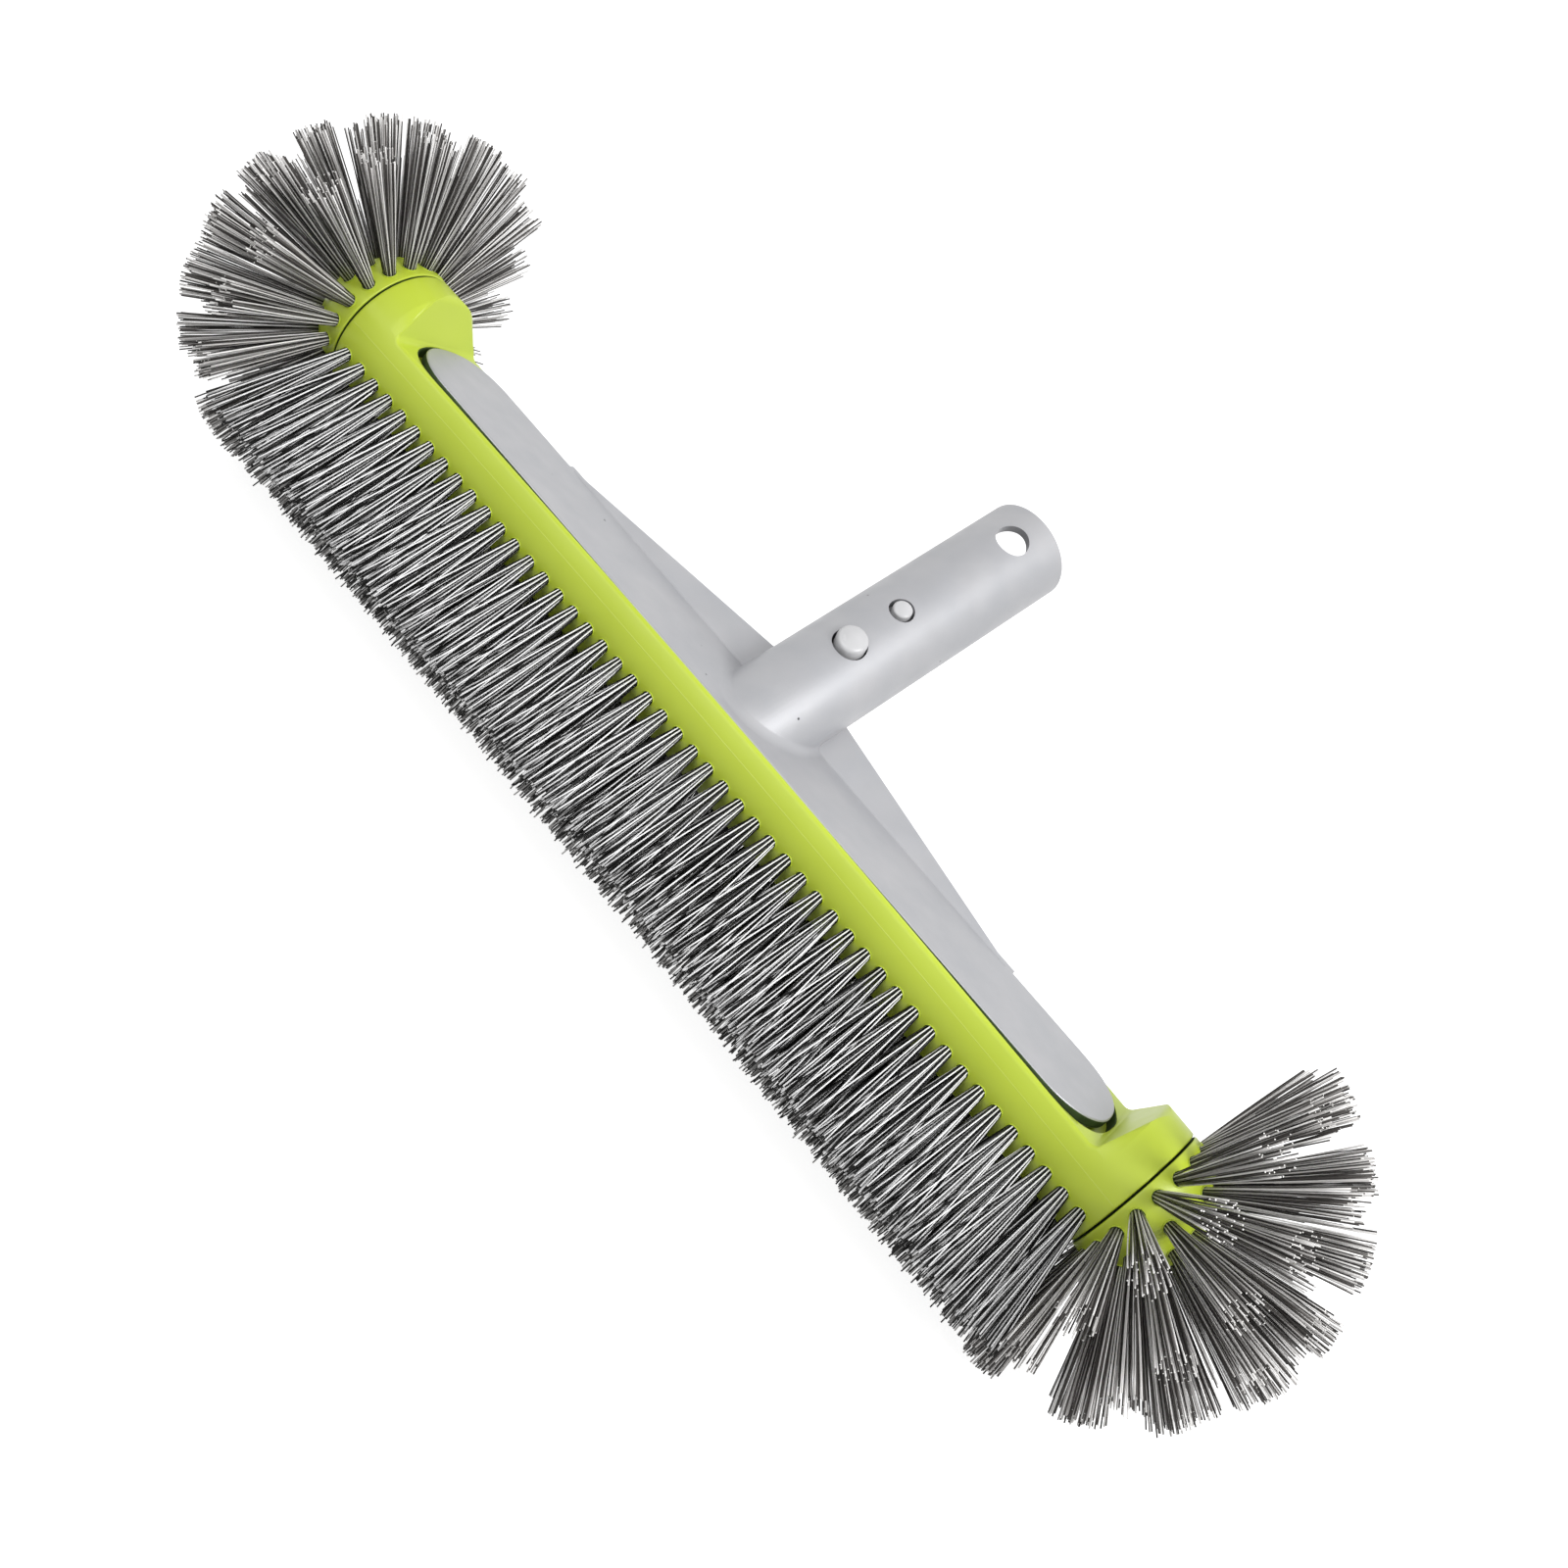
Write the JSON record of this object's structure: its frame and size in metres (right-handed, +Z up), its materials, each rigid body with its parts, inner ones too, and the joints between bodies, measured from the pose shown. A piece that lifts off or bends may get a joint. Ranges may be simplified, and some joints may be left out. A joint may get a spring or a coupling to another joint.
{
  "type": "pool wall brush",
  "caption": "Curved-back pool wall brush: green moulded bar with bristle rows, bristle-ball ends and a cast handle socket with a sprung button clip.",
  "frame": {"origin": "below the middle of the brush, on the floor that its bristle tips stand on", "axes": "+X along the bar to the right-hand end, +Y to the back, where the handle tube leans, +Z up, away from the bristle rows' tips"},
  "size_m": [0.412, 0.151, 0.1372],
  "materials": {
    "green_plastic": "satin moulded lime green",
    "cast_aluminium": "satin cast, light grey",
    "clip_nylon": "white moulded nylon",
    "bristle": "grey nylon filament",
    "steel": "plain stainless screw"
  },
  "bodies": {
    "brush": {"bar": "green_plastic", "end_cap_left": "green_plastic", "end_cap_right": "green_plastic", "tuft_row_1": "bristle", "tuft_row_2": "bristle", "tuft_row_3": "bristle", "tuft_row_4": "bristle", "tuft_row_5": "bristle", "cap_tufts_left_1": "bristle", "cap_tufts_left_2": "bristle", "cap_tufts_left_3": "bristle", "cap_tufts_left_4": "bristle", "cap_tufts_right_1": "bristle", "cap_tufts_right_2": "bristle", "cap_tufts_right_3": "bristle", "cap_tufts_right_4": "bristle", "handle_casting": "cast_aluminium", "flange_screw_1": "steel", "flange_screw_2": "steel", "flange_screw_3": "steel", "flange_screw_4": "steel", "clip_bend": "clip_nylon"},
    "front_arm": {"clip_arm_front": "clip_nylon"},
    "back_arm": {"clip_arm_back": "clip_nylon"}
  },
  "joints": [
    {"name": "front_button", "type": "hinge", "parent": "brush", "child": "front_arm", "pos_m": [0, 0.03126, 0.10409], "axis": [1, 0, 0], "range_deg": [0, 5.2], "stiffness_Nm_per_rad": 4.4},
    {"name": "back_button", "type": "hinge", "parent": "brush", "child": "back_arm", "pos_m": [0, 0.03833, 0.09566], "axis": [-1, 0, 0], "range_deg": [0, 5.2], "stiffness_Nm_per_rad": 4.4}
  ]
}
